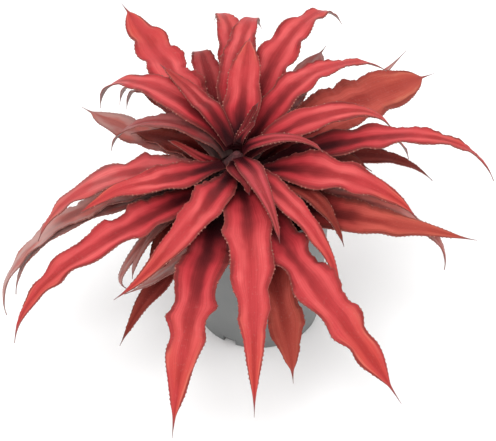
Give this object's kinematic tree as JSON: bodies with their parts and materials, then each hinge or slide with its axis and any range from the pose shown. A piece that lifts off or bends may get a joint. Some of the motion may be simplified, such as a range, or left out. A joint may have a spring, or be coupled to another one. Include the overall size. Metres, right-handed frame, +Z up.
{
  "type": "potted earth star plant",
  "caption": "Red earth star, a bromeliad rosette of long arching leaves with waved margins, growing in a small plain nursery pot.",
  "frame": {"origin": "middle of the pot's underside, on the surface the pot stands on", "axes": "+Z up along the pot's axis, +X to the viewer's right and +Y away from the viewer, as the plant is seen from its front and above"},
  "size_m": [0.2905, 0.2974, 0.1454],
  "materials": {
    "pot": "moulded grey plastic, matt",
    "potting_mix": "dark bark and peat crumbs",
    "stem": "dull, dark maroon",
    "leaf_outer": "satin, orange red, grey scurf below",
    "leaf": "satin, coral red with a darker midrib and margins",
    "leaf_young": "satin, dark red"
  },
  "bodies": {
    "root": {"pot": "pot", "potting_mix": "potting_mix", "stem": "stem", "leaf_01": "leaf_outer", "leaf_02": "leaf_outer", "leaf_03": "leaf_outer", "leaf_04": "leaf_outer", "leaf_05": "leaf_outer", "leaf_06": "leaf_outer", "leaf_07": "leaf_outer", "leaf_08": "leaf_outer", "leaf_09": "leaf_outer", "leaf_10": "leaf_outer", "leaf_11": "leaf_outer", "leaf_12": "leaf_outer", "leaf_13": "leaf_outer", "leaf_14": "leaf_outer", "leaf_15": "leaf_outer", "leaf_16": "leaf_outer", "leaf_17": "leaf_outer", "leaf_18": "leaf_outer", "leaf_19": "leaf_outer", "leaf_20": "leaf_outer", "leaf_21": "leaf_outer", "leaf_22": "leaf_outer", "leaf_23": "leaf", "leaf_24": "leaf", "leaf_25": "leaf", "leaf_26": "leaf", "leaf_27": "leaf", "leaf_28": "leaf", "leaf_29": "leaf", "leaf_30": "leaf", "leaf_31": "leaf", "leaf_32": "leaf", "leaf_33": "leaf", "leaf_34": "leaf", "leaf_35": "leaf", "leaf_36": "leaf", "leaf_37": "leaf", "leaf_38": "leaf", "leaf_39": "leaf", "leaf_40": "leaf", "leaf_41": "leaf", "leaf_42": "leaf", "leaf_43": "leaf", "leaf_44": "leaf", "leaf_45": "leaf", "leaf_46": "leaf", "leaf_47": "leaf_young", "leaf_48": "leaf_young", "leaf_49": "leaf_young", "leaf_50": "leaf_young", "leaf_51": "leaf_young"}
  },
  "joints": []
}
